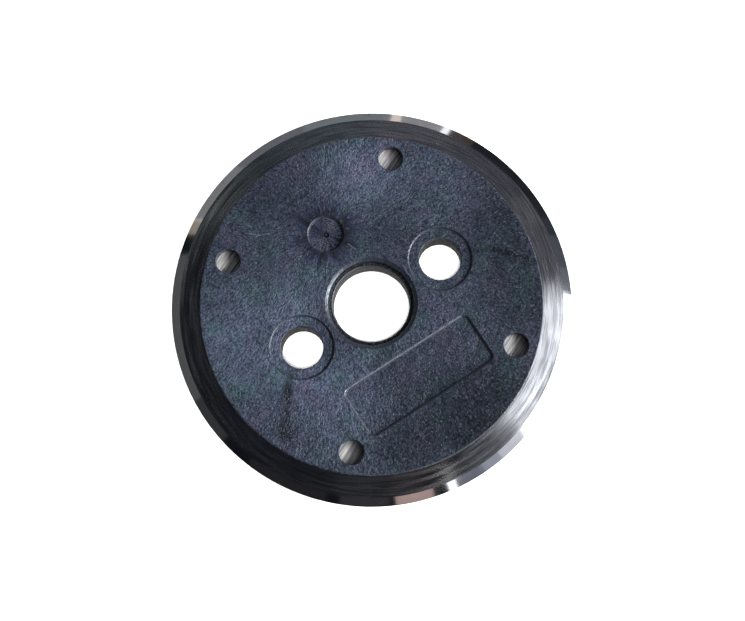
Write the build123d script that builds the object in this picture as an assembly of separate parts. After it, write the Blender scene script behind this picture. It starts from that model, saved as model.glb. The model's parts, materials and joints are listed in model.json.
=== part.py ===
from build123d import *
import math
import os

# Fibre cleaver blade: a hard-metal cutting ring with a plastic hub moulded over its inner band.
# All sizes are in millimetres and degrees. The origin is on the bore axis, in the plane of the
# cutting edge. +X runs through the two screw holes and +Z rises out of the face with the panel.

# Cutting ring, sized from the edge inwards
edge_diameter = 20.0
edge_angle = 54.0           # included angle of the polished cutting edge
lap_width = 0.32            # fine-ground cone behind the polished edge
lap_slope = 9.0
relief_width = 0.66         # wide ground cone behind the lap
relief_slope = 3.0
ring_thickness = 0.60
grip_width = 2.20           # how far the ring reaches into the hub
ring_bore_break = 0.06      # broken corners at the ring's own bore

# Hub body
hub_thickness = 1.60
shutoff_land = 0.08         # flat of the ring left clear for the mould to close on
rim_draft = 3.0
hub_edge_round = 0.05

# Spindle bore, with a tapered seat sunk around its upper end
bore_diameter = 3.80
bore_ease = 0.06            # 45 degree ease at both mouths
seat_diameter = 4.60
seat_depth = 0.25
seat_draft = 40.0

# Two clamping screw holes, with a shallow washer seat around each
screw_count = 2
screw_pitch = 8.16
screw_hole_diameter = 2.10
screw_ease = 0.03
washer_seat_diameter = 3.24
washer_seat_depth = 0.09
washer_seat_draft = 18.0

# Holes left by the mould pins that hold the ring, the same on both faces
pin_pairs = 2               # one pair at each end of the line through the screw holes
pin_hole_diameter = 1.27
pin_hole_draft = 2.0
pin_inset = 1.04            # from the hub's upper edge to the pin centres
pin_half_angle = 49.6       # from that line to each pin of a pair

# Gate dimple, with the pit that the broken gate left
gate_diameter = 1.88
gate_depth = 0.13
gate_draft = 12.0
gate_offset = 4.17
gate_pit_diameter = 0.30
gate_pit_depth = 0.07
gate_pit_draft = 35.0

# Marking panel, a shallow tray with rounded corners
panel_length = 7.25
panel_width = 2.74
panel_corner = 0.36
panel_depth = 0.11
panel_draft = 20.0
panel_offset = 4.31

# Values that follow from the sizes above
edge_radius = edge_diameter / 2
ring_face = ring_thickness / 2
hub_face = hub_thickness / 2
cover = hub_face - ring_face
lap_top = ring_face - relief_width * math.tan(math.radians(relief_slope))
polish_top = lap_top - lap_width * math.tan(math.radians(lap_slope))
polish_radius = edge_radius - polish_top / math.tan(math.radians(edge_angle / 2))
lap_radius = polish_radius - lap_width
relief_radius = lap_radius - relief_width
hub_base_radius = relief_radius - shutoff_land
hub_face_radius = hub_base_radius - cover * math.tan(math.radians(rim_draft))
ring_bore_radius = hub_base_radius - grip_width
pin_pitch_radius = hub_face_radius - pin_inset


def mirrored_profile(upper):
    """Closes an upper half outline, listed outwards from the bore, with its mirror image."""
    lower = [(r, -z) for r, z in reversed(upper) if z > 0]
    return make_face(Polyline(*upper, *lower, close=True))


def turned(profile):
    """Turns a section drawn in the XY plane, radius by height, about the bore axis."""
    return revolve(Plane.XZ * profile, Axis.Z)


def cutting_ring():
    """The ground ring: flat where the hub grips it, then two cones and the polished edge."""
    upper = [
        (ring_bore_radius, ring_face - ring_bore_break),
        (ring_bore_radius + ring_bore_break, ring_face),
        (relief_radius, ring_face),
        (lap_radius, lap_top),
        (polish_radius, polish_top),
        (edge_radius, 0),
    ]
    return turned(mirrored_profile(upper))


def hub_blank():
    """The hub as a plain disc with the bore, parted and drafted at the ring's two faces."""
    bore_radius = bore_diameter / 2
    upper = [
        (bore_radius, hub_face),
        (hub_face_radius, hub_face),
        (hub_base_radius, ring_face),
    ]
    blank = turned(mirrored_profile(upper))
    rims = blank.edges().filter_by(GeomType.CIRCLE).filter_by(lambda e: abs(e.center().Z) > ring_face)
    outer_rims = rims.filter_by(lambda e: e.radius > bore_radius + hub_edge_round)
    return fillet(outer_rims, hub_edge_round)


def drafted_pocket(mouth_diameter, depth, draft, top=hub_face):
    """A round cutter that hangs down from its mouth at the height top and narrows with its draft."""
    mouth_radius = mouth_diameter / 2
    floor_radius = mouth_radius - depth * math.tan(math.radians(draft))
    outline = Polyline(
        (0, top - depth),
        (floor_radius, top - depth),
        (mouth_radius, top),
        (0, top),
        close=True,
    )
    return turned(make_face(outline))


def eased_hole(diameter, ease, top, bottom=-hub_face):
    """A round through cutter from bottom to top that flares at 45 degrees at both its mouths."""
    radius = diameter / 2
    outline = Polyline(
        (0, bottom),
        (radius + ease, bottom),
        (radius, bottom + ease),
        (radius, top - ease),
        (radius + ease, top),
        (0, top),
        close=True,
    )
    return turned(make_face(outline))


def spindle_seat():
    """The bore and the tapered seat sunk into the upper face around it."""
    seat = drafted_pocket(seat_diameter, seat_depth, seat_draft)
    return seat + eased_hole(bore_diameter, bore_ease, hub_face - seat_depth)


def screw_seats():
    """The screw holes, each through the floor of its washer seat."""
    seat = drafted_pocket(washer_seat_diameter, washer_seat_depth, washer_seat_draft)
    hole = eased_hole(screw_hole_diameter, screw_ease, hub_face - washer_seat_depth)
    return [place * (seat + hole) for place in GridLocations(screw_pitch, 0, screw_count, 1)]


def pin_holes():
    """Blind holes down to the ring from both faces, in pairs about the line of the screw holes."""
    mouth_radius = pin_hole_diameter / 2
    tip_radius = mouth_radius - hub_face * math.tan(math.radians(pin_hole_draft))
    upper = Cone(tip_radius, mouth_radius, hub_face, align=(Align.CENTER, Align.CENTER, Align.MIN))
    lower = mirror(upper, Plane.XY)
    cutters = []
    for pair in range(pin_pairs):
        for side in (-pin_half_angle, pin_half_angle):
            spot = Rot(0, 0, 360 * pair / pin_pairs + side) * Pos(pin_pitch_radius, 0, 0)
            cutters += [spot * upper, spot * lower]
    return cutters


def gate_dimple():
    """The sunk disc under the gate, with the small pit where the gate broke away."""
    dimple = drafted_pocket(gate_diameter, gate_depth, gate_draft)
    pit = drafted_pocket(gate_pit_diameter, gate_pit_depth, gate_pit_draft, hub_face - gate_depth)
    return Pos(0, gate_offset, 0) * (dimple + pit)


def marking_panel():
    """The shallow tray for a marking, left bare."""
    mouth = Plane.XY.offset(hub_face) * Pos(0, -panel_offset) * RectangleRounded(
        panel_length, panel_width, panel_corner
    )
    return extrude(mouth, -panel_depth, taper=panel_draft)


def moulded_hub(ring):
    """The plastic hub, moulded over the ring and relieved by its bore, seats and tooling marks."""
    hub = hub_blank() - spindle_seat()
    for cutter in [*screw_seats(), *pin_holes(), gate_dimple(), marking_panel()]:
        hub -= cutter
    return hub - ring


ring = cutting_ring()
hub = moulded_hub(ring)

os.makedirs("parts", exist_ok=True)
for name, shape in {"cutting_ring": ring, "moulded_hub": hub}.items():
    shape.label = name
    export_step(shape, f"parts/{name}.step")
    print(name, "solids", len(shape.solids()), "volume", round(shape.volume, 3), "mm3")
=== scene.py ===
"""A fibre cleaver blade: a ground hard-metal ring with a glass-filled plastic hub moulded over it.

The script is laid out as a Blender add-on and is run as a script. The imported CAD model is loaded
as a fixed frame, and every piece is made around it in metres, in the frame's own axes: +Z along
the bore and out of the face with the marking panel, +X through the two screw holes.
"""

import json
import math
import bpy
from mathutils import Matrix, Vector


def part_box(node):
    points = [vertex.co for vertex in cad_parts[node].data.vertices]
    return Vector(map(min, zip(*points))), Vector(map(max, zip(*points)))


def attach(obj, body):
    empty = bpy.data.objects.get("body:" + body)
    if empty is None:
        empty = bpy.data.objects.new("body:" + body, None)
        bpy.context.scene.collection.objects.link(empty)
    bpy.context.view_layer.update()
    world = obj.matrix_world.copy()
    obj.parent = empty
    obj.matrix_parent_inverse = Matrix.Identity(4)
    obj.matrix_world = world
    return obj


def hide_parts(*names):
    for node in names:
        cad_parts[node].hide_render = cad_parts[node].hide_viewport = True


bl_info = {
    "name": "Fibre cleaver blade",
    "version": (1, 0, 0),
    "blender": (4, 5, 0),
    "location": "3D View > Sidebar > Blade",
    "description": "Makes a moulded cleaver blade and the small studio that it is shown in",
    "category": "Add Mesh",
}

from functools import partialmethod

import bmesh
import bpy
from bpy.props import FloatProperty, FloatVectorProperty, IntProperty, PointerProperty
from mathutils import Matrix, Vector
from mathutils.geometry import delaunay_2d_cdt

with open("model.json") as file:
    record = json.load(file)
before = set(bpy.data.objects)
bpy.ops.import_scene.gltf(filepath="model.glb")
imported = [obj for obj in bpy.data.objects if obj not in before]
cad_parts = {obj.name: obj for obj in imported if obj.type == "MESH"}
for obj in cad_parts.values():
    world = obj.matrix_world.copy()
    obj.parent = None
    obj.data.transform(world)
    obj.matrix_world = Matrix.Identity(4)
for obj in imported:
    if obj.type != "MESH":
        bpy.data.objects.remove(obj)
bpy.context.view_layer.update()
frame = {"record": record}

MM = 0.001
RING_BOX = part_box("cutting_ring")
HUB_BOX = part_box("moulded_hub")
MOUNTS = {mount["name"]: mount["dims"] for mount in frame["record"]["mounts"]}
BODY = "root"
PICTURE_WIDTH = 745
CAMERA_SHIFT = (0.96, -4.73)  # in pixels


# Properties: what a user of the add-on would change

def length(description, millimetres):
    """A length property. The default is given in millimetres and kept in metres."""
    return FloatProperty(
        description=description, default=millimetres * MM, unit="LENGTH", precision=5
    )


def angle(description, degrees):
    """An angle property. The default is given in degrees and kept in radians."""
    return FloatProperty(description=description, default=math.radians(degrees), subtype="ANGLE")


def colour(description, default):
    """A colour property, in linear light."""
    return FloatVectorProperty(
        description=description, default=default, subtype="COLOR", size=3, min=0, max=1
    )


def amount(description, default, low=0.0, high=1.0):
    """A plain number between two limits."""
    return FloatProperty(description=description, default=default, min=low, max=high)


def labelled(group):
    """Labels each property of a group after its key."""
    for key, prop in group.__annotations__.items():
        prop.keywords["name"] = key.replace("_", " ").capitalize()
    return group


@labelled
class RingSizes(bpy.types.PropertyGroup):
    """Sizes of the cutting ring, from the edge inwards."""

    edge_radius: length("From the axis to the cutting edge", RING_BOX[1].x / MM)
    half_thickness: length("From the edge's plane to the ground face", RING_BOX[1].z / MM)
    edge_angle: angle("Included angle of the polished edge", 54)
    edge_crown: angle("How far the polished flank turns from its root to the edge", 2.5)
    lap_width: length("Fine-ground cone behind the polished edge", 0.32)
    lap_slope: angle("Fall of that cone", 9)
    relief_width: length("Wide ground cone behind the lap", 0.66)
    relief_slope: angle("Fall of that cone", 3)
    band_round: length("Radius between two ground bands", 0.02)
    bore_radius: length("The ring's own bore, inside the hub", 6.3186)
    bore_break: length("Broken corners at that bore", 0.06)
    facets: IntProperty(description="Steps round the ring", default=960, min=64)


@labelled
class HubSizes(bpy.types.PropertyGroup):
    """Sizes of the moulded hub."""

    base_radius: length("Where the hub meets the ring", HUB_BOX[1].x / MM)
    half_thickness: length("From the edge's plane to the hub's face", HUB_BOX[1].z / MM)
    proud: length("How far the hub's face lies under its fibres' tops", 0.005)
    rim_draft: angle("Draft of the rim", 3)
    rim_round: length("Radius along the rim", 0.03)
    lead_slope: angle("Slope of the lead-in at the mouth of every pocket", 27)
    seat_lead: length("Width of the lead-in at the spindle seat", 0.15)
    small_lead: length("Width of the lead-in at the smaller pockets", 0.045)
    panel_lead: length("Width of the lead-in round the marking panel", 0.075)
    panel_slope: angle("Slope of that lead-in", 35)
    lip_round: length("Radius at the mouths of the pockets", 0.07)
    bore_radius: length("Radius of the spindle bore", MOUNTS["bore"]["r_mm"])
    bore_ease: length("Ease at both mouths of the bore", 0.06)
    seat_radius: length("Mouth of the tapered seat", 2.3)
    seat_depth: length("Depth of the tapered seat", 0.25)
    seat_draft: angle("Taper of the seat's wall", 40)
    screw_pitch: length("Between the screw holes", MOUNTS["screw_holes"]["spacing_x_mm"])
    screw_radius: length("Radius of the screw holes", MOUNTS["screw_holes"]["hole_r_mm"])
    screw_ease: length("Ease at both mouths of the screw holes", 0.03)
    washer_radius: length("Mouth of the washer seats", 1.62)
    washer_depth: length("Depth of the washer seats", 0.09)
    washer_draft: angle("Draft of the washer seats", 18)
    pin_radius: length("Mouth of the mould-pin holes", 0.635)
    pin_draft: angle("Draft of the mould-pin holes", 2)
    pin_inset: length("From the hub's upper edge to the pin holes", 1.04)
    pin_bearing: angle("From the line of the screw holes to each pin hole", 49.6)
    gate_radius: length("Mouth of the gate dimple", 0.94)
    gate_depth: length("Depth of the gate dimple", 0.13)
    gate_draft: angle("Draft of the gate dimple", 12)
    gate_offset: length("From the axis to the gate", 4.17)
    pit_radius: length("Mouth of the pit where the gate broke off", 0.15)
    pit_depth: length("Depth of that pit", 0.07)
    pit_draft: angle("Taper of that pit", 35)
    panel_length: length("Marking panel, along the screw holes' line", 7.25)
    panel_width: length("Marking panel, across that line", 2.74)
    panel_corner: length("Corner radius of the marking panel", 0.36)
    panel_depth: length("Depth of the marking panel", 0.11)
    panel_draft: angle("Draft of the marking panel", 20)
    panel_offset: length("From the axis to the panel's middle", 4.31)
    facet: length("Longest step round a hole", 0.06)


@labelled
class Finishes(bpy.types.PropertyGroup):
    """Colours and gloss of the plastic and the metal."""

    plastic: colour("Colour of the moulded plastic", (0.0290, 0.0368, 0.0560))
    plastic_teal: colour("Colour of the cooler flow patches", (0.0264, 0.0420, 0.0535))
    plastic_purple: colour("Colour of the warmer flow patches", (0.0350, 0.0360, 0.0585))
    fibre: colour("Colour of fibres at the skin", (0.16, 0.19, 0.22))
    # The hole walls' colour is painted shade, far darker than the plastic's own colour
    wall: colour("Colour of the plastic inside the holes", (0.0078, 0.0078, 0.0060))
    plastic_roughness: amount("Roughness of the moulded skin", 0.30)
    lip_roughness: amount("Roughness of lips and chamfers", 0.30)
    metal: colour("Colour of the ground metal", (0.46, 0.46, 0.48))
    ground_roughness: amount("Roughness of the ground cones", 0.18)
    grinding_lean: angle("How far the grinding marks lean outwards", 6)
    polish_roughness: amount("Roughness of the polished edge", 0.06)


@labelled
class StageSettings(bpy.types.PropertyGroup):
    """Camera and light."""

    camera_distance: length("From the blade's middle to the camera", 81.44)
    camera_tilt: angle("Between the bore's axis and the line of sight", 10.58)
    camera_bearing: angle("Side that the camera leans to, from +X", 241.21)
    upright_bearing: angle("Bearing that stands upright in the picture", 57.03)
    lens: FloatProperty(description="Focal length in mm", default=78.76)
    card_distance: length("From the blade to the light cards", 300)
    floor_light: amount("Power of the light on the floor alone, in watts", 3.0, 0, 50)
    surround: colour("Colour of the unlit room", (0.010, 0.012, 0.016))


GROUPS = {
    "blade_ring": RingSizes,
    "blade_hub": HubSizes,
    "blade_finish": Finishes,
    "blade_stage": StageSettings,
}


# Node trees written as expressions

class Wire:
    """A node's output. Arithmetic on it adds one Math node for each operation."""

    def __init__(self, tree, socket):
        self.tree = tree
        self.socket = socket

    def math(self, operation, *others):
        return self.tree.add(
            "ShaderNodeMath", {"operation": operation}, dict(enumerate((self, *others)))
        )

    def __rsub__(self, other):
        return self.tree.add("ShaderNodeMath", {"operation": "SUBTRACT"}, {0: other, 1: self})


for sign, operation in {
    "add": "ADD", "radd": "ADD", "sub": "SUBTRACT", "mul": "MULTIPLY", "rmul": "MULTIPLY",
    "truediv": "DIVIDE", "pow": "POWER", "gt": "GREATER_THAN", "lt": "LESS_THAN", "abs": "ABSOLUTE",
}.items():
    setattr(Wire, f"__{sign}__", partialmethod(Wire.math, operation))


class Tree:
    """A node tree, with the one method that adds any node."""

    def __init__(self, tree):
        self.tree = tree

    def add(self, kind, settings=None, inputs=None, output=0):
        """Adds a node. Its settings come first, then the values or links of its sockets."""
        node = self.tree.nodes.new(kind)
        for name, value in (settings or {}).items():
            setattr(node, name, value)
        for key, value in (inputs or {}).items():
            if isinstance(value, Wire):
                self.tree.links.new(value.socket, node.inputs[key])
            else:
                node.inputs[key].default_value = value
        return Wire(self, node.outputs[output]) if len(node.outputs) else None

    def xyz(self, x=0.0, y=0.0, z=0.0):
        """A vector of three numbers."""
        return self.add("ShaderNodeCombineXYZ", inputs={0: x, 1: y, 2: z})

    def parts(self, vector):
        """The three numbers of a vector."""
        node = self.add("ShaderNodeSeparateXYZ", inputs={0: vector}).socket.node
        return [Wire(self, socket) for socket in node.outputs]

    def vector(self, operation, first, second=(0.0, 0.0, 0.0)):
        """One operation on vectors."""
        return self.add("ShaderNodeVectorMath", {"operation": operation}, {0: first, 1: second})

    def scaled(self, vector, factor):
        """A vector or a colour times a number."""
        return self.add("ShaderNodeVectorMath", {"operation": "SCALE"}, {0: vector, 3: factor})


class Finish(Tree):
    """A material with a Principled shader. All its patterns are in millimetres on the object."""

    def __init__(self, name, **constants):
        self.material = bpy.data.materials.new(name)
        self.material.use_nodes = True
        super().__init__(self.material.node_tree)
        self.tree.nodes.clear()
        self.shader = self.tree.nodes.new("ShaderNodeBsdfPrincipled")
        end = self.tree.nodes.new("ShaderNodeOutputMaterial")
        self.tree.links.new(self.shader.outputs[0], end.inputs[0])
        for socket, value in constants.items():
            self.set(socket.replace("_", " "), value)
        place = self.add("ShaderNodeTexCoord", output="Object")
        self.place = self.scaled(place, 1 / MM)
        self.x, self.y, self.z = self.parts(self.place)

    def set(self, socket, value):
        """Links or sets one of the shader's own sockets."""
        if isinstance(value, Wire):
            self.tree.links.new(value.socket, self.shader.inputs[socket])
        else:
            self.shader.inputs[socket].default_value = value

    def noise(self, vector, scale, detail=2.0, roughness=0.5, distortion=0.0):
        """Noise from 0 to 1. The scale is in waves per millimetre."""
        return self.add(
            "ShaderNodeTexNoise",
            {"noise_dimensions": "3D"},
            {"Vector": vector, "Scale": scale, "Detail": detail, "Roughness": roughness,
             "Distortion": distortion},
        )

    def steps(self, value, low, high, bottom=0.0, top=1.0):
        """A value carried from one range to another along a smooth step."""
        return self.add(
            "ShaderNodeMapRange",
            {"interpolation_type": "SMOOTHSTEP"},
            {0: value, 1: low, 2: high, 3: bottom, 4: top},
        )

    def spread(self, noise, bottom=0.0, top=1.0):
        """Noise carried from the range that it mostly stays in to another."""
        return self.steps(noise, 0.3, 0.7, bottom, top)

    def blend(self, factor, first, second):
        """A colour between two colours."""
        inputs = {0: factor, 6: rgba(first), 7: rgba(second)}
        return self.add("ShaderNodeMix", {"data_type": "RGBA"}, inputs, output=2)

    def distance(self, x, y):
        """Distance in the plane of the face from a point given in millimetres."""
        return ((self.x - x) ** 2 + (self.y - y) ** 2) ** 0.5

    def line_distance(self, start, end):
        """Distance in the plane of the face from a straight stretch between two points."""
        run_x, run_y = end[0] - start[0], end[1] - start[1]
        square = run_x ** 2 + run_y ** 2
        share = ((self.x - start[0]) * run_x + (self.y - start[1]) * run_y) / square
        share = self.add("ShaderNodeClamp", inputs={0: share})
        aside_x = self.x - start[0] - share * run_x
        aside_y = self.y - start[1] - share * run_y
        return (aside_x ** 2 + aside_y ** 2) ** 0.5

    def bearing(self, x=0.0, y=0.0):
        """The unit vector in the plane of the face away from a point."""
        return self.vector("NORMALIZE", self.xyz(self.x - x, self.y - y))

    def coated(self, base, roughness, height=None, distance=0.0, strength=1.0):
        """Sets the colour, the roughness and a bump, whose distance is in metres."""
        self.set("Base Color", base)
        self.set("Roughness", roughness)
        if height is not None:
            inputs = {"Height": height, "Distance": distance, "Strength": strength}
            self.set("Normal", self.add("ShaderNodeBump", inputs=inputs))
        return self.material


def rgba(value):
    """A wire as it is, or a colour with its alpha."""
    return value if isinstance(value, Wire) else (*value[:3], 1.0)


def times(colour, factor):
    """A plain colour times a number."""
    return [part * factor for part in colour]


SOCKETS = {
    int: "Int", float: "Float", tuple: "Vector", type(None): "Geometry",
    bpy.types.Material: "Material", bpy.types.Object: "Object",
}


class Recipe(Tree):
    """A Geometry Nodes tree, with its inputs made by name."""

    def __init__(self, name):
        super().__init__(bpy.data.node_groups.new(name, "GeometryNodeTree"))
        self.tree.interface.new_socket("Geometry", in_out="OUTPUT", socket_type="NodeSocketGeometry")
        self.start = self.tree.nodes.new("NodeGroupInput")
        self.values = {}

    def input(self, name, value=None):
        """Adds a named input and keeps the value that the modifier gives it."""
        kind = "NodeSocket" + SOCKETS[type(value)]
        item = self.tree.interface.new_socket(name, in_out="INPUT", socket_type=kind)
        if value is not None:
            self.values[item.identifier] = value
        return Wire(self, self.start.outputs[-2])

    def finish(self, geometry, *coats):
        """Ends the tree in Realize Instances and one Set Material for each coat."""
        whole = self.add("GeometryNodeRealizeInstances", inputs={0: geometry})
        for where, material in coats:
            inputs = {0: whole, "Material": material}
            if where is not None:
                inputs["Selection"] = where
            whole = self.add("GeometryNodeSetMaterial", inputs=inputs)
        end = self.tree.nodes.new("NodeGroupOutput")
        self.tree.links.new(whole.socket, end.inputs[0])

    def circle(self, count, radius):
        """A circle of this many points."""
        inputs = {"Resolution": count, "Radius": radius}
        return self.add("GeometryNodeCurvePrimitiveCircle", inputs=inputs)

    def random(self, low, high, seed):
        """A random number or vector for each point, between two limits."""
        kind, first, output = "FLOAT", 2, 1
        if isinstance(low, tuple):
            kind, first, output = "FLOAT_VECTOR", 0, 0
        inputs = {first: low, first + 1: high, "Seed": seed}
        return self.add("FunctionNodeRandomValue", {"data_type": kind}, inputs, output)

    def moved(self, points, **where):
        """Points with a new Position or an Offset."""
        return self.add("GeometryNodeSetPosition", inputs={"Geometry": points, **where})

    def scatter(self, points, shape, axis, direction, scale, material):
        """Ends the tree with a shape on each point, one of its axes turned along a direction."""
        turn = self.add(
            "FunctionNodeAlignRotationToVector", {"axis": axis}, {"Vector": direction}
        )
        inputs = {"Points": points, "Instance": shape, "Rotation": turn, "Scale": scale}
        self.finish(self.add("GeometryNodeInstanceOnPoints", inputs=inputs), (None, material))

    def run(self, name, data):
        """Evaluates the tree on this data and returns the result as a plain mesh object."""
        start = placed("start", data)
        modifier = start.modifiers.new("recipe", "NODES")
        modifier.node_group = self.tree
        for identifier, value in self.values.items():
            modifier[identifier] = value
        evaluated = start.evaluated_get(bpy.context.evaluated_depsgraph_get())
        mesh = bpy.data.meshes.new_from_object(evaluated)
        start.modifiers.remove(modifier)
        bpy.data.objects.remove(start)
        mesh.name = name
        if not mesh.polygons:
            raise RuntimeError(f"{name} came out empty")
        return placed(name, mesh)


# Outlines and mesh work

def placed(name, data):
    """A new object in the scene."""
    piece = bpy.data.objects.new(name, data)
    bpy.context.scene.collection.objects.link(piece)
    return piece


def from_bmesh(name, bm):
    """A new object in the scene with the bmesh's faces. The bmesh is freed."""
    mesh = bpy.data.meshes.new(name)
    bm.to_mesh(mesh)
    bm.free()
    return placed(name, mesh)


def heading(bearing):
    """The level unit vector at a bearing."""
    return Vector((math.cos(bearing), math.sin(bearing), 0))


def turned_to(place, *axes):
    """The matrix that moves an object to a place and lays its axes along these."""
    return Matrix.Translation(place) @ Matrix(axes).transposed().to_4x4()


def softened(profile, step=math.radians(12)):
    """Rounds the corners of a profile. Each point is (across, height, radius of its corner)."""
    points = []
    for index, (across, height, radius) in enumerate(profile):
        here = Vector((across, height))
        if radius <= 0 or index in (0, len(profile) - 1):
            points.append(here)
            continue
        before = (Vector(profile[index - 1][:2]) - here).normalized()
        after = (Vector(profile[index + 1][:2]) - here).normalized()
        turn = math.pi - before.angle(after)
        if turn < 1e-4:
            points.append(here)
            continue
        reach = radius * math.tan(turn / 2)
        centre = here + (before + after).normalized() * (radius / math.cos(turn / 2))
        first = here + before * reach - centre
        last = here + after * reach - centre
        count = max(2, math.ceil(turn / step))
        sweep = first.angle_signed(last)
        for part in range(count + 1):
            points.append(centre + Matrix.Rotation(-sweep * part / count, 2) @ first)
    return [(point.x, point.y) for point in points]


def round_outline(centre_x, centre_y, count):
    """An outline whose size is its radius."""
    def at(radius, height):
        turns = [2 * math.pi * part / count for part in range(count)]
        return [
            (centre_x + radius * math.cos(turn), centre_y + radius * math.sin(turn), height)
            for turn in turns
        ]
    return at


def panel_outline(sizes):
    """An outline of a rectangle with round corners, whose size is its offset from the mouth."""
    steps = 12
    def at(offset, height):
        corner = sizes.panel_corner + offset
        half_x = sizes.panel_length / 2 - sizes.panel_corner
        half_y = sizes.panel_width / 2 - sizes.panel_corner
        points = []
        for quarter, (side_x, side_y) in enumerate(((1, 1), (-1, 1), (-1, -1), (1, -1))):
            for part in range(steps + 1):
                turn = math.pi / 2 * (quarter + part / steps)
                points.append((
                    side_x * half_x + corner * math.cos(turn),
                    side_y * half_y + corner * math.sin(turn) - sizes.panel_offset,
                    height,
                ))
        return points
    return at


def collar(bm, outline, profile):
    """A closed wall through the profile's points. Returns its first and last loops."""
    loops = [[bm.verts.new(point) for point in outline(*level)] for level in profile]
    for lower, upper in zip(loops, loops[1:]):
        for index in range(len(lower)):
            following = (index + 1) % len(lower)
            bm.faces.new((lower[index], lower[following], upper[following], upper[index]))
    return loops[0], loops[-1]


def inside(point, loop):
    """Whether a point lies inside a closed loop, by the even-odd rule."""
    crossed = False
    for (ax, ay), (bx, by) in zip(loop, loop[1:] + loop[:1]):
        if (ay > point[1]) != (by > point[1]):
            if point[0] < ax + (point[1] - ay) * (bx - ax) / (by - ay):
                crossed = not crossed
    return crossed


def flat_face(bm, outer, holes=()):
    """Fills a level face between an outer loop and its holes. Returns the new faces."""
    loops = [outer, *holes]
    verts = [vert for loop in loops for vert in loop]
    edges, start = [], 0
    for loop in loops:
        count = len(loop)
        edges += [(start + index, start + (index + 1) % count) for index in range(count)]
        start += count
    flat = [vert.co.xy / MM for vert in verts]
    _, _, triangles, origins, _, _ = delaunay_2d_cdt(flat, edges, [], 1, 1e-7)
    cut_outs = [[tuple(vert.co.xy / MM) for vert in hole] for hole in holes]
    made = []
    for triangle in triangles:
        corners = [origins[index][0] for index in triangle]
        middle = sum((flat[index] for index in corners), Vector((0, 0))) / 3
        if not any(inside(middle, hole) for hole in cut_outs):
            made.append(bm.faces.new([verts[index] for index in corners]))
    return made


def mesh_object(name, bm, flats, sharp_angle, materials, coat_of):
    """Turns a closed bmesh into a smooth object whose level faces keep their own shading."""
    bmesh.ops.recalc_face_normals(bm, faces=bm.faces)
    for face in bm.faces:
        face.material_index = coat_of(face)
        face.smooth = True
    level = set(flats)
    for edge in bm.edges:
        if not edge.is_manifold:
            raise RuntimeError(f"{name} has an open edge at {edge.verts[0].co / MM}")
        borders_level = (edge.link_faces[0] in level) != (edge.link_faces[1] in level)
        edge.smooth = not borders_level and edge.calc_face_angle() < sharp_angle
    piece = from_bmesh(name, bm)
    for material in materials:
        piece.data.materials.append(material)
    return piece


def sizes_of(context):
    """The four property groups: ring, hub, finishes and stage."""
    return [getattr(context.scene, name) for name in GROUPS]


# Finishes of the metal

def ring_lines(finish, across, along, seed):
    """Fine lines that run round the ring, finer across than along."""
    radius = finish.distance(0, 0)
    turned = finish.scaled(finish.bearing(), along)
    place = finish.vector("ADD", turned, finish.xyz(seed, 0.0, radius * across))
    return finish.noise(place, 1.0, 1.0, 0.4)


def ground_metal(finishes, ring):
    """The ground cones. Their marks run round the ring and lean outwards, as a wheel leaves them."""
    finish = Finish(
        "ground_hard_metal", Metallic=1.0, Anisotropic=1.0, Anisotropic_Rotation=0.25
    )
    lines = ring_lines(finish, 13.0, 6.0, 0.0)
    coarse = ring_lines(finish, 5.0, 3.0, 5.0)
    patches = finish.noise(finish.place, 0.9, 3.0, 0.6)
    lit = finish.steps(lines * 0.8 + coarse * 0.2, 0.34, 0.62, 0.70, 1.18)
    lit = lit * finish.spread(patches, 0.94, 1.04)
    base = finish.scaled(finish.xyz(*finishes.metal), lit)
    gloss = finish.spread(coarse, -0.04, 0.04) + finishes.ground_roughness
    lap_start = ring_profile(ring)[1] / MM
    lean = finish.distance(0, 0).math("MINIMUM", lap_start) * -math.tan(finishes.grinding_lean)
    marks = lines * 0.0004 + coarse * 0.0002
    return finish.coated(base, gloss, lean + marks, 1.0 * MM)


def polished_metal(finishes):
    """The polished cutting edge, close to a mirror."""
    finish = Finish("polished_hard_metal", Metallic=1.0)
    lines = ring_lines(finish, 60.0, 14.0, 3.0)
    haze = finish.noise(finish.place, 1.4, 3.0)
    base = finish.blend(haze, finishes.metal, times(finishes.metal, 1.12))
    gloss = finish.steps(haze, 0.35, 0.7, 0.0, 0.03) + finishes.polish_roughness
    return finish.coated(base, gloss, lines, 0.000015 * MM)


def lapped_metal(finishes):
    """The flat faces under the hub, with the straight lines of the flat grinder."""
    finish = Finish("lapped_hard_metal", Metallic=1.0)
    turn = math.radians(24)
    along = finish.x * math.cos(turn) + finish.y * math.sin(turn)
    across = finish.y * math.cos(turn) - finish.x * math.sin(turn)
    lines = finish.noise(finish.xyz(along * 0.5, across * 11.0, 0.0), 1.0, 3.0, 0.6)
    base = finish.blend(finish.spread(lines), times(finishes.metal, 0.7), (0.86, 0.82, 0.79))
    return finish.coated(base, finish.spread(lines, 0.94, 0.84), lines, 0.005 * MM)


# Finishes of the plastic

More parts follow.
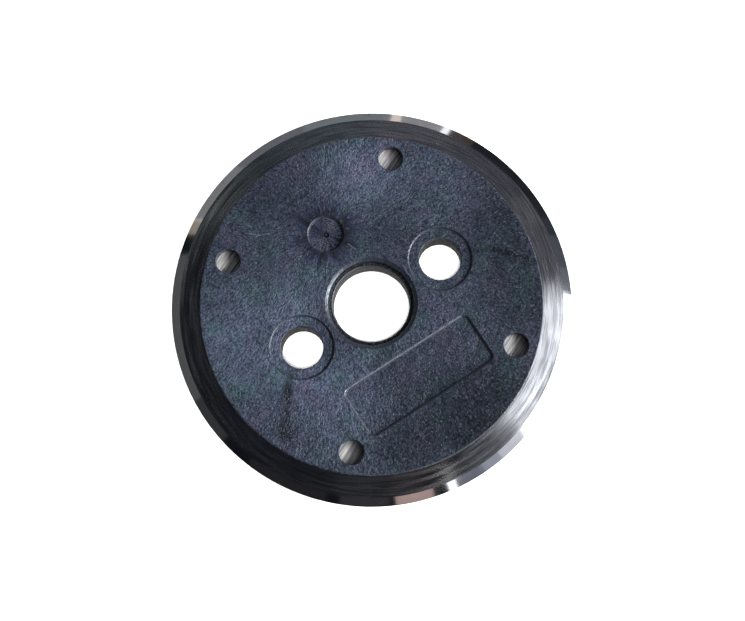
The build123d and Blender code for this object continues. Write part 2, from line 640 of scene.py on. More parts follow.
SHEEN_AND_SHADE_SPOTS = (
    # x, y and reach in mm, and how much lighter or darker the skin is there: lighter spots are
    # painted sheen, darker ones painted shade, most towards the bottom and right
    (-6.0, 1.4, 4.4, 0.8), (-4.0, -3.0, 3.4, 0.8), (-2.4, 2.4, 2.6, 0.4), (3.2, 5.8, 3.0, 0.8),
    (6.0, 3.8, 2.2, 0.3), (7.4, -0.4, 3.2, -0.45), (6.4, -3.8, 3.4, -0.45), (1.0, -7.4, 3.8, -0.64),
    (3.8, -6.8, 2.6, -0.36), (-2.4, -7.0, 2.4, -0.4), (-1.6, 7.2, 2.4, -0.25), (2.6, 2.2, 2.2, -0.2),
)
WELD_LINES = (
    # ends of each stretch in mm, its half width and its strength
    ((5.3, -0.3), (6.5, -1.0), 0.09, 0.45), ((6.5, -1.0), (7.7, -2.3), 0.11, 0.5),
    ((-5.2, -0.8), (-5.9, -1.5), 0.20, 0.5), ((-5.9, -1.5), (-7.1, -3.2), 0.24, 0.55),
)
LONG_FIBRES = (
    # ends in mm of the long fibres that lie open at the skin
    ((-3.18, 6.27), (-2.82, 5.93)), ((-2.82, 5.93), (-2.33, 5.73)), ((0.66, 3.14), (0.82, 2.70)),
)


def gate_flow(finish, gate, from_gate):
    """The streaks that flow from the gate, equally fine all the way, and the petals and rays."""
    outward = finish.bearing(*gate)

    def flow(turns, reach, seed):
        """One set of streaks: how many go round the gate, and how short they are."""
        place = finish.xyz(seed, finish.z * reach * 2.0, from_gate * reach)
        return finish.noise(finish.vector("ADD", finish.scaled(outward, turns), place), 1.0, 2.0, 0.6)

    near = finish.steps(from_gate, 2.0, 4.0, 1.0, 0.0)
    far = finish.steps(from_gate, 6.5, 9.5, 0.0, 1.0)
    streaks = flow(26.0, 6.0, 4.0) * near + flow(92.0, 6.0, 8.0) * far
    streaks += flow(52.0, 6.0, 6.0) * (1.0 - near - far)
    return streaks, flow(4.0, 0.3, 2.0), flow(12.0, 0.5, 9.0)


def moulded_plastic(finishes, hub):
    """Black glass-filled plastic: a crisp grain that flows from the gate, patches and weld lines,
    with painted sheen and painted shade.
    """
    finish = Finish("glass_filled_plastic", IOR=1.5, Specular_IOR_Level=0.3)
    noise, steps, spread, blend = finish.noise, finish.steps, finish.spread, finish.blend
    gate = (0.0, hub.gate_offset / MM)
    from_gate = finish.distance(*gate)
    grain = noise(finish.place, 10.5, 3.0, 0.6)
    specks = noise(finish.place, 17.0, 2.0, 0.6)
    waves = noise(finish.place, 1.6, 2.0)
    patches = noise(finish.place, 0.5, 3.0, 0.55, 0.4)
    tints = noise(finish.vector("ADD", finish.place, (7.0, 3.0, 1.0)), 0.6, 2.0, 0.55)
    streaks, petals, rays = gate_flow(finish, gate, from_gate)
    streaks = streaks * 0.55 + grain * 0.45

    # Slow changes of tint and tone, spots of painted sheen and painted shade, and weld lines that
    # wander a little
    base = blend(steps(tints, 0.5, 0.7), finishes.plastic, finishes.plastic_teal)
    base = blend(steps(tints, 0.5, 0.3), base, finishes.plastic_purple)
    light = spread(patches, 0.86, 1.14) * spread(waves, 0.88, 1.12)
    light *= steps(streaks, 0.36, 0.66, 0.48, 1.72)
    # shade gathers the spots' painted sheen and painted shade
    shade = 1.0
    for x, y, reach, gain in SHEEN_AND_SHADE_SPOTS:
        shade = (steps(finish.distance(x, y), reach, reach * 0.2) * gain + 1.0) * shade
    light *= shade
    wander = (waves - 0.5) * 1.4
    for start, end, half_width, strength in WELD_LINES:
        line = finish.line_distance(start, end) + wander * half_width
        light *= 1.0 - steps(line, half_width * 2.0, half_width * 0.3) * strength

    # The dull halo round the gate's dimple, and painted shade as a dark ring in the pit
    dimple = hub.gate_radius / MM
    halo = steps(from_gate + petals * 2.6, 2.1, 3.3, 1.0, 0.0) * (from_gate > dimple)
    dark = steps(rays, 0.35, 0.62, 1.0, 0.78) * halo
    fan = petals * 0.6 + rays * 0.4
    inner = (from_gate < dimple) * steps(fan, 0.42, 0.54, -0.85, 0.12)
    round_nub = 0.115
    # painted shade: a dark ring round the nub on the pit's floor
    pit = steps(abs(from_gate - round_nub), 0.035, 0.06, 1.0, 0.0)
    base = blend(dark * 0.8, base, (0.026, 0.032, 0.090))
    base = blend((from_gate < dimple) * 0.8, base, (0.028, 0.033, 0.066))
    light *= (inner + 1.0) * (1.0 - dark) * (1.0 - pit * 0.8)

    # Painted shade: the panel's floor, the seat and the hub's rim are darker, as if in shadow
    depth = hub.half_thickness / MM - abs(finish.z)
    light *= steps(depth, hub.panel_depth / MM, 0.06, 0.86, 1.0)
    from_axis = finish.distance(0.0, 0.0)
    seat = (hub.seat_radius - hub.seat_lead) / MM
    light *= steps(from_axis, seat - 0.02, seat + 0.04, 0.15, 1.0)
    rim = hub.base_radius / MM
    light *= steps(from_axis, rim - 0.06, rim - 0.02, 1.0, 0.4)

    # Fibres under the skin
    flecks = steps(specks * 0.6 + streaks * 0.4, 0.56, 0.68) * (1.0 - dark)
    for start, end in LONG_FIBRES:
        near_line = finish.line_distance(start, end)
        flecks = flecks.math("MAXIMUM", steps(near_line, 0.035, 0.012))
    base = blend(flecks * 0.5, finish.scaled(base, light), finishes.fibre)

    gloss = spread(grain, -0.07, 0.07) + dark * 0.35 + pit * 0.35
    gloss += finishes.plastic_roughness
    relief = (streaks - 0.5) * 1.1 + (specks - 0.5) * 0.35 + (waves - 0.5) * 1.2
    calm = (1.0 - dark) * steps(shade, 0.2, 1.1, 0.45, 1.0)
    return finish.coated(base, gloss, relief * calm, 0.06 * MM)


def burnished_lip(finishes):
    """Lips and chamfers, which the mould leaves smoother than the faces."""
    finish = Finish(
        "smooth_plastic_lip", IOR=1.5, Specular_IOR_Level=0.64, Specular_Tint=(0.84, 0.92, 1.0, 1.0)
    )
    grain = finish.noise(finish.place, 6.0, 3.0, 0.6)
    worn = finish.steps(grain, 0.35, 0.65)
    base = finish.scaled(finish.blend(worn, finishes.plastic, finishes.plastic_purple), 0.6)
    gloss = finish.spread(grain, -0.07, 0.07) + finishes.lip_roughness
    return finish.coated(base, gloss, grain, 0.024 * MM)


def shaded_dull_wall(finishes):
    """The plastic inside the through holes: dull, with its colour darkened as painted shade and a
    slight brown cast.
    """
    finish = Finish("dull_hole_wall", IOR=1.5, Specular_IOR_Level=0.12)
    grain = finish.noise(finish.place, 10.0, 3.0, 0.6)
    along = finish.noise(finish.xyz(finish.x * 6.0, finish.y * 6.0, finish.z * 1.2), 1.0, 2.0)
    tone = finish.steps(grain * 0.5 + along * 0.5, 0.35, 0.65)
    base = finish.blend(tone, finishes.wall, times(finishes.wall, 2.2))
    return finish.coated(base, finish.spread(grain, 0.6, 0.75), grain, 0.02 * MM, 0.7)


def glass_fibre(finishes):
    """A fibre end at the skin, pale under a thin film of plastic."""
    finish = Finish("skin_fibre")
    tone = finish.noise(finish.place, 6.0, 1.0)
    base = finish.blend(finish.spread(tone), times(finishes.fibre, 0.35), finishes.fibre)
    return finish.coated(base, finish.spread(tone, 0.5, 0.65))


# The cutting ring

def ring_profile(sizes):
    """The ring's closed section, as points of (radius, height)."""
    flank = sizes.edge_angle / 2
    lap_top = sizes.half_thickness - sizes.relief_width * math.tan(sizes.relief_slope)
    polish_top = lap_top - sizes.lap_width * math.tan(sizes.lap_slope)
    polish_radius = sizes.edge_radius - polish_top / math.tan(flank)
    lap_radius = polish_radius - sizes.lap_width
    relief_radius = lap_radius - sizes.relief_width
    upper = softened([
        (sizes.bore_radius, sizes.half_thickness - sizes.bore_break, 0),
        (sizes.bore_radius + sizes.bore_break, sizes.half_thickness, 0),
        (ring_land(), sizes.half_thickness, 0),
        (relief_radius, sizes.half_thickness, sizes.band_round),
        (lap_radius, lap_top, sizes.band_round),
        (polish_radius, polish_top, 0),
    ], math.radians(2))
    chord = Vector((sizes.edge_radius - polish_radius, -polish_top))
    steps = 12
    for part in range(1, steps + 1):
        share = part / steps
        rise = chord.length * math.tan(sizes.edge_crown / 4) * 2 * share * (1 - share)
        point = Vector((polish_radius, polish_top)) + chord * share
        point += Vector((polish_top, chord.x)).normalized() * rise
        upper.append((point.x, max(point.y, 0.0)))
    lower = [(radius, -height) for radius, height in reversed(upper[:-1])]
    return upper + lower, lap_radius, polish_radius


def ring_land():
    """Where the lapped flat ends and the ground cones start, just under the hub's rim."""
    return HUB_BOX[1].x - 0.1 * MM


def turned_ring(context):
    """Turns the ring's section round the axis with Geometry Nodes and coats its bands."""
    ring, _, finishes, _ = sizes_of(context)
    section, _, polish_radius = ring_profile(ring)
    curve = bpy.data.curves.new("ring_section", "CURVE")
    curve.dimensions = "3D"
    spline = curve.splines.new("POLY")
    spline.points.add(len(section) - 1)
    for point, (radius, height) in zip(spline.points, section):
        point.co = (radius, -height, 0, 1)
    spline.use_cyclic_u = True

    recipe = Recipe("turned_section")
    section_in = recipe.input("Section")
    facets = recipe.input("Facets", ring.facets)
    crisp = recipe.input("Crisp corner", math.radians(6))
    covered = recipe.input("Ground from", ring_land())
    polish_from = recipe.input("Polished from", polish_radius)
    lapped = recipe.input("Lapped metal", lapped_metal(finishes))
    ground = recipe.input("Ground metal", ground_metal(finishes, ring))
    polished = recipe.input("Polished metal", polished_metal(finishes))
    # A sweep needs a path with some length, so it runs round a tiny circle.
    tiny = 1e-3 * MM
    circle = recipe.circle(facets, tiny)
    circle = recipe.add("GeometryNodeSetCurveNormal", {"mode": "Z_UP"}, {"Curve": circle})
    shifted = recipe.moved(section_in, Offset=(-tiny, 0, 0))
    body = recipe.add(
        "GeometryNodeCurveToMesh", inputs={"Curve": circle, "Profile Curve": shifted}
    )
    corner = recipe.add("GeometryNodeInputMeshEdgeAngle")
    body = recipe.add(
        "GeometryNodeSetShadeSmooth",
        {"domain": "EDGE"},
        {0: body, "Selection": corner > crisp, "Shade Smooth": False},
    )
    x, y, _ = recipe.parts(recipe.add("GeometryNodeInputPosition"))
    radius = (x * x + y * y) ** 0.5
    recipe.finish(body, (None, lapped), (radius > covered, ground), (radius > polish_from, polished))
    return recipe.run("ground_cutting_ring", curve)


class BLADE_OT_cutting_ring(bpy.types.Operator):
    """Make the ground and polished hard-metal ring"""

    bl_idname = "blade.cutting_ring"
    bl_label = "Cutting ring"

    def execute(self, context):
        piece = turned_ring(context)
        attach(piece, BODY)
        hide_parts("cutting_ring")
        return {"FINISHED"}


# The moulded hub

def rim_profile(hub, ring):
    """The hub's upper rim, from its face down to the ring."""
    cover = hub.half_thickness - ring.half_thickness
    face_radius = hub.base_radius - cover * math.tan(hub.rim_draft)
    inner = face_radius - hub.rim_round * 2
    face = hub.half_thickness - hub.proud
    return softened([
        (inner, face, 0),
        (face_radius, face, hub.rim_round),
        (hub.base_radius, ring.half_thickness, 0),
    ])


def hole_profile(top, bottom, radius, ease):
    """A straight hole with an ease at both of its mouths."""
    rounding = ease * 0.95
    return [
        (radius + ease, top, rounding),
        (radius, top - ease, rounding),
        (radius, bottom + ease, 0),
        (radius + ease, bottom, 0),
    ]


def on_side(profile, side):
    """An upper profile as it is, or its mirror image below the ring."""
    return [(radius, side * height) for radius, height in profile]


class HubShell:
    """The hub's closed shell while it is built, with a channel where the ring sits."""

    def __init__(self, hub, ring):
        self.hub, self.ring = hub, ring
        self.bm = bmesh.new()
        self.face, self.seam = hub.half_thickness - hub.proud, ring.half_thickness
        self.holes, self.channel_holes = {1: [], -1: []}, {1: [], -1: []}
        self.flats = []

    def circle(self, x, y, radius):
        """A round outline with as many steps as its largest radius needs."""
        count = max(24, 4 * round(2 * math.pi * radius / self.hub.facet / 4))
        return round_outline(x, y, count)

    def pocket(self, mouth, depth, draft, lead, foot=0.02 * MM, slope=None):
        """The first points of a pocket: its lip, the lead-in, the wall and the floor's corner.

        The foot is how far inside the drafted wall the floor starts, as that corner is rounded.
        """
        slope = slope or self.hub.lead_slope
        lip, inner_round, spare = self.hub.lip_round, self.hub.lip_round * 0.4, 0.004 * MM
        return [
            (mouth + lip * math.tan(slope / 2) + spare, self.face, 0),
            (mouth, self.face, lip),
            (mouth - lead, self.face - lead * math.tan(slope), inner_round),
            (mouth - depth * math.tan(draft) - foot, self.face - depth, inner_round),
        ]

    def through(self, outline, profile):
        """A hole from the upper face to the lower one."""
        for side, edge in zip((1, -1), collar(self.bm, outline, softened(profile))):
            self.holes[side].append(edge)

    def blind(self, outline, profile):
        """A pocket in the upper face, with a level floor."""
        mouth, floor = collar(self.bm, outline, softened(profile))
        self.holes[1].append(mouth)
        self.flats += flat_face(self.bm, floor)

    def bore(self):
        """The spindle bore, through the floor of its tapered seat."""
        hub = self.hub
        seat = self.pocket(hub.seat_radius, hub.seat_depth, hub.seat_draft, hub.seat_lead)
        bore = hole_profile(self.face - hub.seat_depth, -self.face, hub.bore_radius, hub.bore_ease)
        self.through(self.circle(0, 0, hub.seat_radius), seat + bore)

    def screw_holes(self):
        """The screw holes, each through the floor of its washer seat."""
        hub = self.hub
        seat = self.pocket(hub.washer_radius, hub.washer_depth, hub.washer_draft, hub.small_lead)
        top = self.face - hub.washer_depth
        screw = hole_profile(top, -self.face, hub.screw_radius, hub.screw_ease)
        for side in (-1, 1):
            self.through(self.circle(side * hub.screw_pitch / 2, 0, hub.washer_radius), seat + screw)

    def pin_holes(self):
        """Holes down to the ring from both faces, in pairs about the line of the screw holes."""
        hub, depth = self.hub, self.face - self.seam
        pitch = hub.base_radius - depth * math.tan(hub.rim_draft) - hub.pin_inset
        wall = softened(self.pocket(hub.pin_radius, depth, hub.pin_draft, hub.small_lead * 0.6, 0))
        for half_turn in (0, math.pi):
            for bearing in (half_turn - hub.pin_bearing, half_turn + hub.pin_bearing):
                centre = pitch * math.cos(bearing), pitch * math.sin(bearing)
                outline = self.circle(*centre, hub.pin_radius)
                for side in (1, -1):
                    mouth, bottom = collar(self.bm, outline, on_side(wall, side))
                    self.holes[side].append(mouth)
                    self.channel_holes[side].append(bottom)

    def gate(self):
        """The gate's dimple, with the pit and the nub that the broken gate left."""
        hub = self.hub
        dimple_floor = self.face - hub.gate_depth
        pit_floor = dimple_floor - hub.pit_depth
        pit_foot = hub.pit_radius - hub.pit_depth * math.tan(hub.pit_draft)
        dimple = self.pocket(
            hub.gate_radius, hub.gate_depth, hub.gate_draft, hub.small_lead, 0.03 * MM
        )
        pit = [
            (hub.pit_radius + 0.02 * MM, dimple_floor, 0),
            (hub.pit_radius, dimple_floor, 0.015 * MM),
            (pit_foot, pit_floor, 0.01 * MM),
        ]
        nub = [
            (pit_foot * 0.75, pit_floor, 0),
            (pit_foot * 0.62, pit_floor + hub.pit_depth * 0.5, 0),
            (pit_foot * 0.28, pit_floor + hub.pit_depth * 0.72, 0),
        ]
        self.blind(self.circle(0, hub.gate_offset, hub.gate_radius), dimple + pit + nub)

    def panel(self):
        """The marking panel, a shallow tray whose profile is measured from its mouth."""
        hub, wider, foot = self.hub, 0.02 * MM, 0.06 * MM
        tray = self.pocket(
            wider, hub.panel_depth, hub.panel_draft, hub.panel_lead, foot, hub.panel_slope
        )
        past_corner = tray[-1][0] + 0.01 * MM - hub.lip_round
        tray.append((past_corner, self.face - hub.panel_depth, 0))
        self.blind(panel_outline(hub), tray)

    def close(self):
        """The channel and the rims, and the level faces between them and the holes."""
        hub, ring = self.hub, self.ring
        outline = self.circle(0, 0, hub.base_radius)
        rim = rim_profile(hub, ring)
        channel = collar(self.bm, outline, [
            (ring.bore_radius + ring.bore_break, self.seam),
            (ring.bore_radius, self.seam - ring.bore_break),
            (ring.bore_radius, -self.seam + ring.bore_break),
            (ring.bore_radius + ring.bore_break, -self.seam),
        ])
        for side, channel_edge in zip((1, -1), channel):
            crest, base = collar(self.bm, outline, on_side(rim, side))
            self.flats += flat_face(self.bm, crest, self.holes[side])
            self.flats += flat_face(self.bm, base, [channel_edge, *self.channel_holes[side]])


def moulded_hub(context):
    """Builds the hub round the ring and coats it."""
    ring, hub, finishes, _ = sizes_of(context)
    shell = HubShell(hub, ring)
    for step in (
        shell.bore, shell.screw_holes, shell.pin_holes, shell.gate, shell.panel, shell.close
    ):
        step()
    coats = moulded_plastic(finishes, hub), shaded_dull_wall(finishes), burnished_lip(finishes)
    sharp = math.radians(24)
    return mesh_object(
        "moulded_plastic_hub", shell.bm, shell.flats, sharp, coats, coat_chooser(hub)
    )


def coat_chooser(hub):
    """Tells a face's coat: the skin is 0, the wall of a through hole 1 and a lip or chamfer 2."""
    screw_top = hub.half_thickness - hub.proud - hub.washer_depth
    seat_foot = hub.bore_radius + hub.bore_ease
    seat_top = hub.seat_radius - hub.seat_lead - 0.01 * MM

    def coat_of(face):
        middle = face.calc_center_median()
        slope = abs(face.normal.z)
        from_axis = middle.xy.length
        from_screw = math.hypot(abs(middle.x) - hub.screw_pitch / 2, middle.y)
        from_gate = math.hypot(middle.x, middle.y - hub.gate_offset)
        in_hole = from_axis < hub.bore_radius * 1.01 or from_screw < hub.screw_radius * 1.01
        if in_hole and slope < 0.3 and middle.z < screw_top:
            return 1
        on_rim = from_axis > hub.base_radius - 0.2 * MM
        if on_rim or from_gate < hub.pit_radius * 1.3 or seat_foot < from_axis < seat_top:
            return 0
        return 2 if 0.25 < slope < 0.99 else 0
    return coat_of


class BLADE_OT_moulded_hub(bpy.types.Operator):
    """Make the glass-filled plastic hub round the ring"""

    bl_idname = "blade.moulded_hub"
    bl_label = "Moulded hub"

    def execute(self, context):
        piece = moulded_hub(context)
        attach(piece, BODY)
        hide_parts("moulded_hub")
        return {"FINISHED"}


# Fibres at the skin and flash along the rim

def skin_fibres(context, hub_piece):
    """Scatters short glass fibres over the hub's face; they point away from the gate."""
    _, hub, finishes, _ = sizes_of(context)
    recipe = Recipe("scattered_fibres")
    host = recipe.input("Hub", hub_piece)
    level = recipe.input("Face height", hub.half_thickness - hub.proud)
    density = recipe.input("Fibres per square metre", 6e6)
    radius = recipe.input("Fibre radius", 0.008 * MM)
    shortest = recipe.input("Shortest", 0.04 * MM)
    longest = recipe.input("Longest", 0.17 * MM)
    gate = recipe.input("Gate", (0.0, hub.gate_offset, hub.half_thickness - hub.proud))
    stray = recipe.input("Stray", 0.55)
    seed = recipe.input("Seed", 7)
    coat = recipe.input("Coat", glass_fibre(finishes))

    host = recipe.add("GeometryNodeObjectInfo", inputs={"Object": host}, output="Geometry")
    _, _, height = recipe.parts(recipe.add("GeometryNodeInputPosition"))
    _, _, facing = recipe.parts(recipe.add("GeometryNodeInputNormal"))
    on_face = (facing > 0.99) * (height > level - 0.001 * MM)
    skin = recipe.add(
        "GeometryNodeSeparateGeometry", {"domain": "FACE"}, {"Geometry": host, "Selection": on_face}
    )
    points = recipe.add(
        "GeometryNodeDistributePointsOnFaces",
        {"distribute_method": "RANDOM"},
        {"Mesh": skin, "Density": density, "Seed": seed},
    )

    place = recipe.add("GeometryNodeInputPosition")
    away = recipe.vector("NORMALIZE", recipe.vector("SUBTRACT", place, gate))
    jitter = recipe.random((-1.0, -1.0, 0.0), (1.0, 1.0, 0.0), seed + 1)
    along = recipe.vector("ADD", away, recipe.scaled(jitter, stray))
    along = recipe.vector("MULTIPLY", along, (1.0, 1.0, 0.0))
    size = recipe.xyz(1.0, 1.0, recipe.random(shortest, longest, seed + 2))
    fibre = recipe.add(
        "GeometryNodeMeshCylinder", inputs={"Vertices": 6, "Radius": radius, "Depth": 1.0}
    )
    points = recipe.moved(points, Offset=recipe.xyz(z=hub.proud - radius))
    recipe.scatter(points, fibre, "Z", along, size, coat)
    return recipe.run("skin_fibres", bpy.data.meshes.new("fibre_start"))


def rim_flash(context):
    """Small burrs of plastic film along the hub's rim, thrown by Geometry Nodes."""
    _, hub, finishes, _ = sizes_of(context)
    recipe = Recipe("burrs_round_the_rim")
    count = recipe.input("Burrs", 420)
    radius = recipe.input("Rim radius", hub.base_radius - 0.02 * MM)
    middle = recipe.input("Middle height", hub.half_thickness - 0.12 * MM)
    smallest = recipe.input("Smallest", 0.012 * MM)
    largest = recipe.input("Largest", 0.045 * MM)
    seed = recipe.input("Seed", 11)
    coat = recipe.input("Coat", moulded_burr(finishes))
    circle = recipe.circle(count, radius)
    points = recipe.add("GeometryNodeCurveToPoints", {"mode": "EVALUATED"}, {"Curve": circle})
    lowest = (-0.06 * MM, -0.06 * MM, -0.07 * MM)
    highest = (0.06 * MM, 0.06 * MM, 0.05 * MM)
    drift = recipe.random(lowest, highest, seed)
    rise = recipe.vector("ADD", drift, recipe.xyz(z=middle))
    points = recipe.moved(points, Offset=rise)
    place = recipe.add("GeometryNodeInputPosition")
    outward = recipe.vector("NORMALIZE", recipe.vector("MULTIPLY", place, (1, 1, 0)))
    height = recipe.xyz(z=recipe.parts(place)[2])
    on_rim = recipe.vector("ADD", recipe.scaled(outward, radius), height)
    points = recipe.moved(points, Position=on_rim)
    size = recipe.random(smallest, largest, seed + 1)
    stretch = recipe.random((0.6, 0.8, 0.5), (1.0, 2.4, 1.1), seed + 2)
    burr = recipe.add("GeometryNodeMeshIcoSphere", inputs={"Radius": 1.0, "Subdivisions": 1})
    recipe.scatter(points, burr, "X", outward, recipe.scaled(stretch, size), coat)
    return recipe.run("rim_burrs", bpy.data.meshes.new("burr_start"))


def moulded_burr(finishes):
    """Plastic film, a little paler than the hub where it is thin."""
    finish = Finish("plastic_film", IOR=1.5)
    tone = finish.noise(finish.place, 4.0, 1.0)
    thin = finish.steps(tone, 0.35, 0.65)
    base = finish.blend(thin, finishes.plastic, times(finishes.plastic, 3))
    return finish.coated(base, finish.spread(tone, 0.4, 0.55))


class BLADE_OT_skin_detail(bpy.types.Operator):
    """Scatter the fibres at the hub's skin and the burrs along its rim"""

    bl_idname = "blade.skin_detail"
    bl_label = "Fibres and burrs"

    def execute(self, context):
        hub_piece = bpy.data.objects.get("moulded_plastic_hub")
        if hub_piece is None:
            raise RuntimeError("make the moulded hub first")
        for piece in (skin_fibres(context, hub_piece), rim_flash(context)):
            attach(piece, BODY)
        return {"FINISHED"}


# Camera, floor and light

def eye_point(stage):
    """Where the camera stands."""
    level = stage.camera_distance * math.sin(stage.camera_tilt)
    return Vector((
        level * math.cos(stage.camera_bearing),
        level * math.sin(stage.camera_bearing),
        stage.camera_distance * math.cos(stage.camera_tilt),
    ))


def place_camera(stage):
    """The camera at the photograph's viewing angle, with its small shift."""
    eye = eye_point(stage)
    back = eye.normalized()
    right = heading(stage.upright_bearing).cross(back).normalized()
    up = back.cross(right)
    data = bpy.data.cameras.new("camera")
    data.lens = stage.lens
    data.sensor_width = 36
    data.shift_x, data.shift_y = (pixels / PICTURE_WIDTH for pixels in CAMERA_SHIFT)
    data.clip_start = 0.001
    data.clip_end = 10
    camera = placed("camera", data)
    camera.matrix_world = turned_to(eye, right, up, back)
    bpy.context.scene.camera = camera


def bounce(stage, edge_radius, bearing, slope):
    """Where the ring, at this bearing and with this slope, mirrors the camera."""
    level = heading(bearing)
    normal = level * math.sin(slope) + Vector((0, 0, math.cos(slope)))
    bands_middle = 0.98
    sight = (eye_point(stage) - level * edge_radius * bands_middle).normalized()
    return (2 * normal.dot(sight) * normal - sight).normalized()


def card_slices(name, bearings, *rest):
    """Cuts a wide card into narrow ones, as a rectangle's ends would show slanted in the ring."""
    slopes, _, strength = rest
    widest = 4 if strength > 20 else 8 if slopes[1] > 20 else 24
    count = math.ceil((bearings[1] - bearings[0]) / widest)
    step = (bearings[1] - bearings[0]) / count
    for index in range(count):
        first = bearings[0] + step * index
        yield f"{name}_{index + 1}", (first, first + step), *rest


def light_card(stage, ring, name, bearings, slopes, tint, strength):
    """A soft light that the ring mirrors between two bearings, for bands between two slopes."""
    def seen(bearing, slope):
        return bounce(stage, ring.edge_radius, math.radians(bearing), math.radians(slope))
    mid_bearing, mid_slope = sum(bearings) / 2, sum(slopes) / 2
    middle = seen(mid_bearing, mid_slope)
    across = seen(bearings[1], mid_slope) - seen(bearings[0], mid_slope)
    rise = seen(mid_bearing, slopes[0]) - seen(mid_bearing, slopes[1])
    across -= middle * across.dot(middle)
    side = across.normalized()
    up = middle.cross(side)
    data = bpy.data.lights.new(name, "AREA")
    data.shape = "RECTANGLE"
    data.size = across.length * stage.card_distance
    data.size_y = abs(rise.dot(up)) * stage.card_distance
    data.color = tint
    data.energy = strength * math.pi * data.size * data.size_y
    card = placed(name, data)
    card.matrix_world = turned_to(middle * stage.card_distance, side, up, middle)
    card.visible_camera = False


WHITE = (1.0, 1.0, 1.0)
CARDS = (
    # name, the bearings and the slopes in degrees that mirror it, tint and strength
    ("window_sill", (287.3, 329.7), (30, 36), WHITE, 1.5),
    ("window_low", (288.2, 327.9), (28, 30), (0.95, 0.98, 1.0), 40.0),
    ("window_mid", (288.2, 327.9), (26, 28), (0.95, 0.98, 1.0), 40.0),
    ("window_high", (288.2, 327.9), (24, 26), (0.95, 0.98, 1.0), 40.0),
    ("window_frame_left", (287.3, 288.2), (24, 30), WHITE, 3.0),
    ("window_frame_right", (327.9, 329.7), (24, 30), WHITE, 6.0),
    ("window_middle", (287.3, 331.5), (9, 24), (0.92, 0.95, 1.0), 1.6),
    ("sky", (291, 326), (2, 7), (0.86, 0.92, 1.0), 0.8),
    ("low_glow_left", (252, 289), (32.5, 38), (1.0, 0.98, 0.96), 10.0),
    ("low_glow_right", (327, 365), (32.5, 38), (1.0, 0.98, 0.96), 10.0),
    ("ceiling_near", (330, 420), (3, 16), (0.85, 0.85, 1.0), 0.13),
    ("ceiling_top", (60, 84), (3, 16), (0.68, 0.88, 1.0), 0.10),
    ("ceiling_far", (84, 104), (3, 16), (0.62, 0.90, 1.0), 0.055),
    ("ceiling_left", (104, 128), (3, 16), (0.70, 1.0, 0.95), 0.025),
    ("ceiling_low", (150, 225), (3, 16), (0.80, 0.90, 1.0), 0.012),
    ("ceiling_end", (225, 252), (3, 16), (0.90, 0.95, 1.0), 0.04),
    ("violet_wall", (329.7, 338), (20, 34), (0.80, 0.86, 1.0), 0.24),
    ("violet_wall_far", (338, 348), (20, 34), (0.80, 0.84, 1.0), 0.13),
    ("violet_wall_end", (348, 354), (20, 34), (0.74, 0.84, 1.0), 0.05),
    ("dim_wall_near", (354, 385), (20, 34), (0.84, 0.86, 1.0), 0.018),
    ("warm_shade", (25, 33), (20, 36), (1.0, 0.8, 0.6), 0.08),
    ("thin_strip", (33, 35.2), (20, 36), WHITE, 2.0),
    ("grey_wall_near", (35.2, 48), (20, 36), (0.98, 0.98, 1.0), 0.44),
    ("tan_post", (48, 51), (20, 36), (1.0, 0.84, 0.72), 1.3),
    ("grey_wall", (51, 78), (18, 36), (0.87, 0.95, 1.0), 0.31),
    ("grey_wall_far", (78, 100), (18, 36), (0.90, 0.93, 1.0), 0.23),
    ("grey_wall_end", (100, 121), (18, 36), (1.0, 1.0, 1.0), 0.32),
    ("olive_end", (121, 126), (24, 36), (1.0, 0.88, 0.70), 0.45),
    ("olive_edge", (132, 176), (20, 36), (1.0, 1.0, 0.95), 0.125),
    ("olive_edge_far", (176, 190), (20, 36), (1.0, 1.0, 0.92), 0.05),
    ("dark_edge", (200, 224), (20, 36), (1.0, 0.9, 0.9), 0.02),
    ("dark_edge_near", (228, 242), (20, 36), (1.0, 0.9, 0.92), 0.045),
    ("tan_post_low", (244, 255), (20, 36), (1.0, 0.74, 0.66), 0.66),
    ("white_post", (259.6, 262.1), (16, 36), WHITE, 3.0),
    ("pale_wall_dim", (262.1, 271), (20, 36), (0.80, 0.86, 1.0), 0.30),
    ("pale_wall", (271, 277), (20, 36), (0.82, 0.86, 1.0), 0.60),
    ("pale_wall_lit", (277, 287.3), (20, 36), (0.92, 0.93, 1.0), 1.05),
    ("low_ceiling", (268, 280), (6, 18), (0.82, 0.90, 1.0), 0.12),
    ("low_ceiling_lit", (280, 284), (6, 18), (0.90, 0.94, 1.0), 0.35),
    ("low_ceiling_end", (284, 288), (6, 18), (0.92, 0.95, 1.0), 0.8),
)


def turned_floor(name, profile, count=96):
    """A surface turned round the axis from its middle outwards, facing up."""
    bm = bmesh.new()
    outline = round_outline(0, 0, count)
    inner, _ = collar(bm, outline, profile)
    bm.faces.new(inner)
    bmesh.ops.recalc_face_normals(bm, faces=bm.faces)
    bm.faces.ensure_lookup_table()
    if bm.faces[-1].normal.z < 0:
        bmesh.ops.reverse_faces(bm, faces=bm.faces)
    for face in bm.faces:
        face.smooth = True
    return from_bmesh(name, bm)


def floor_paper():
    """Pale matt paper with a faint tooth."""
    finish = Finish("floor_paper", Specular_IOR_Level=0.1)
    tooth = finish.noise(finish.place, 2.0, 2.0)
    base = finish.blend(tooth, (0.86, 0.86, 0.86), (0.89, 0.89, 0.89))
    return finish.coated(base, finish.steps(tooth, 0.2, 0.8, 0.8, 0.95))


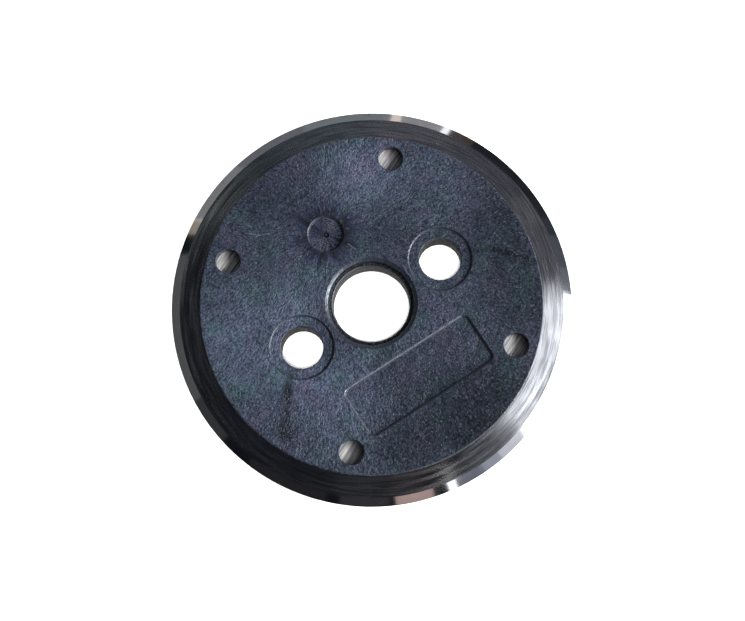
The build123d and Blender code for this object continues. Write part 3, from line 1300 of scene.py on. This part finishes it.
def set_stage(context):
    """The floor, the room, the lights and the camera."""
    ring, hub, _, stage = sizes_of(context)
    level = -hub.half_thickness - 0.001 * MM
    floor = turned_floor("floor", [
        (40 * MM, level), (500 * MM, level), (560 * MM, level + 6 * MM),
        (620 * MM, level + 24 * MM), (670 * MM, level + 56 * MM), (700 * MM, level + 110 * MM),
    ])
    floor.data.materials.append(floor_paper())

    world = bpy.data.worlds.new("room")
    world.use_nodes = True
    world.node_tree.nodes["Background"].inputs[0].default_value = rgba(stage.surround)
    context.scene.world = world

    for card in CARDS:
        for piece in card_slices(*card):
            light_card(stage, ring, *piece)
    floor_light(stage, floor)
    place_camera(stage)
    context.scene.view_settings.view_transform = "Standard"


def floor_light(stage, floor):
    """A soft light from above that reaches the floor alone, so that the floor is plain and pale."""
    data = bpy.data.lights.new("floor_light", "AREA")
    data.shape = "DISK"
    data.size = stage.card_distance * 0.3
    data.energy = stage.floor_light
    light = placed("floor_light", data)
    away = eye_point(stage).normalized() * stage.card_distance * 1.5
    light.matrix_world = Matrix.Translation(away) @ away.to_track_quat("Z", "Y").to_matrix().to_4x4()
    light.visible_camera = False
    lit = bpy.data.collections.new("lit_floor")
    lit.objects.link(floor)
    light.light_linking.receiver_collection = lit


class BLADE_OT_stage(bpy.types.Operator):
    """Set up the floor, the light and the camera"""

    bl_idname = "blade.stage"
    bl_label = "Stage"

    def execute(self, context):
        set_stage(context)
        return {"FINISHED"}


class BLADE_PT_workshop(bpy.types.Panel):
    """Lists the steps that make the blade"""

    bl_label = "Cleaver blade"
    bl_idname = "BLADE_PT_workshop"
    bl_space_type = "VIEW_3D"
    bl_region_type = "UI"
    bl_category = "Blade"

    def draw(self, context):
        for step in STEPS:
            self.layout.operator(step.bl_idname)
        for name, group in GROUPS.items():
            box = self.layout.box()
            for key in group.__annotations__:
                box.prop(getattr(context.scene, name), key)


STEPS = (BLADE_OT_cutting_ring, BLADE_OT_moulded_hub, BLADE_OT_skin_detail, BLADE_OT_stage)
CLASSES = (*GROUPS.values(), *STEPS, BLADE_PT_workshop)


def register():
    for each in CLASSES:
        bpy.utils.register_class(each)
    for name, group in GROUPS.items():
        setattr(bpy.types.Scene, name, PointerProperty(type=group))


def unregister():
    for name in GROUPS:
        delattr(bpy.types.Scene, name)
    for each in reversed(CLASSES):
        bpy.utils.unregister_class(each)


def main():
    """Makes every piece and the stage."""
    register()
    bpy.ops.blade.cutting_ring()
    bpy.ops.blade.moulded_hub()
    bpy.ops.blade.skin_detail()
    bpy.ops.blade.stage()


if __name__ == "__main__":
    main()
